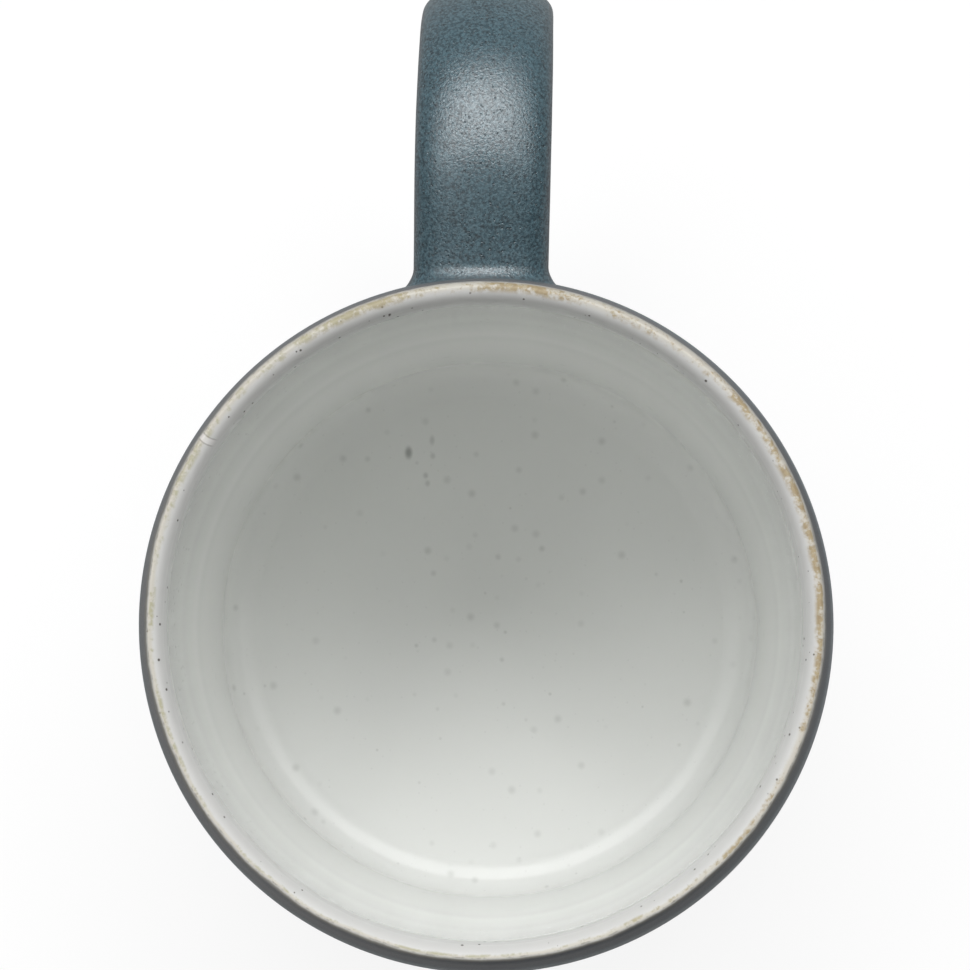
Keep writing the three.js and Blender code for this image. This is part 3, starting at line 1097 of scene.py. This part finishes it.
for piece, slot, nodes in (
    (clay, "stoneware", ["stoneware_body"]),
    (liner, "white_glaze", ["liner_glaze"]),
    (toast, "toasted_glaze", ["lip_toast_line"]),
    (wall, "blue_glaze", ["outer_glaze"]),
    (well, "blue_glaze", ["well_glaze"]),
    (handle, "blue_glaze", ["handle_strap", "handle_glaze", "upper_handle_root", "lower_handle_root"]),
):
    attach(piece, "root")
    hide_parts(*nodes)

# The table, which looks white to the camera and keeps a soft shadow
camera_white = 0.85
glossy_white = 0.05
table_seen = paint(250, 250, 250)
table_bounce = paint(168, 168, 168)
table_size = 8.0


def white_table():
    """A pale matt table top that a camera sees almost white."""
    material = bpy.data.materials.new("white_table")
    material.use_nodes = True
    tree = material.node_tree
    tree.nodes.clear()
    plain = put(tree, "ShaderNodeEmission", {"Color": (1, 1, 1, 1), "Strength": 1.0})
    rays = put(tree, "ShaderNodeLightPath").outputs
    seen = calc(tree, "MAXIMUM", rays["Is Camera Ray"], rays["Is Transmission Ray"])
    matt = put(tree, "ShaderNodeBsdfDiffuse", {"Color": blend_colour(tree, seen, table_bounce, table_seen)})
    share = calc(
        tree,
        "MAXIMUM",
        calc(tree, "MULTIPLY", seen, camera_white),
        calc(tree, "MULTIPLY", rays["Is Glossy Ray"], glossy_white),
    )
    mixed = put(tree, "ShaderNodeMixShader", {0: share, 1: matt.outputs[0], 2: plain.outputs[0]})
    put(tree, "ShaderNodeOutputMaterial", {"Surface": mixed.outputs[0]})
    return material


table_mesh = bpy.data.meshes.new("table")
half = table_size / 2
corners = [(-half, -half, 0), (half, -half, 0), (half, half, 0), (-half, half, 0)]
table_mesh.from_pydata(corners, [], [(0, 1, 2, 3)])
table = bpy.data.objects.new("table", table_mesh)
scene.collection.objects.link(table)
table_mesh.materials.append(white_table())

# Light: a pale room with one broad soft box beyond the handle, in degrees from straight up and round
box_low = 20.5
box_full = 25.5
box_top_full = 42.0
box_top = 51.0
box_swing = -0.5
box_core_full = 14.0
box_core = 82.0
box_level = 6.0
wing_full = 66.0
wing_end = 104.0
wing_level = 1.5
room_level = 0.18
room_lean = -0.25
room_sides = 1.9
room_swing = 0.42
room_least = 0.05
room_low = 0.45
room_high = 0.8


def lit_room():
    """A room that is white to the camera and lights the mug from the soft box, both sides and above."""
    world = bpy.data.worlds.new("pale_room")
    world.use_nodes = True
    tree = world.node_tree
    direction = put(tree, "ShaderNodeTexCoord").outputs["Generated"]
    split = put(tree, "ShaderNodeSeparateXYZ", {0: direction}).outputs
    tilt = calc(tree, "DEGREES", calc(tree, "ARCCOSINE", split["Z"]))
    turn = calc(tree, "DEGREES", calc(tree, "ARCTAN2", split["Y"], split["X"]))
    swung = calc(tree, "ABSOLUTE", calc(tree, "SUBTRACT", turn, box_swing))
    topped = fade(tree, tilt, box_top, box_top_full)
    belt = calc(tree, "MULTIPLY", fade(tree, tilt, box_low, box_full), topped)
    core = fade(tree, swung, box_core, box_core_full, 0.0, box_level)
    wings = fade(tree, swung, wing_end, wing_full, 0.0, wing_level)
    box = calc(tree, "MULTIPLY", belt, calc(tree, "ADD", core, wings))
    sideways = calc(tree, "MULTIPLY_ADD", split["Y"], room_sides, room_swing)
    above = calc(tree, "MULTIPLY_ADD", split["X"], room_lean, room_level)
    level = calc(tree, "MULTIPLY_ADD", split["Y"], sideways, above)
    level = calc(tree, "MULTIPLY", level, fade(tree, split["Z"], room_low, room_high))
    level = calc(tree, "ADD", box, calc(tree, "MAXIMUM", level, room_least))
    seen = put(tree, "ShaderNodeLightPath").outputs["Is Camera Ray"]
    shown = put(tree, "ShaderNodeMix", {0: seen, 2: level, 3: 1.0}, data_type="FLOAT").outputs[0]
    background = tree.nodes["Background"].inputs
    background["Color"].default_value = (1, 1, 1, 1)
    tree.links.new(shown, background["Strength"])
    return world


scene.world = lit_room()

# The camera, above the mug and a little before it, with the handle up the picture
eye = axis_place + Vector((-4.7, -3.2, 448.4)) * MM
aim = axis_place + Vector((16.7, -0.07, 95.0)) * MM
lens_length = 106.8
picture_up = Vector((1, 0, 0))

lens = bpy.data.cameras.new("camera")
lens.lens = lens_length
lens.sensor_width = 36.0
lens.clip_start = 0.01
lens.clip_end = 50.0
camera = bpy.data.objects.new("camera", lens)
forward = (aim - eye).normalized()
right = forward.cross(picture_up).normalized()
upright = right.cross(forward)
camera.matrix_world = Matrix.Translation(eye) @ Matrix((right, upright, -forward)).transposed().to_4x4()
scene.collection.objects.link(camera)
scene.camera = camera

scene.view_settings.view_transform = "Standard"
scene.cycles.diffuse_bounces = 12
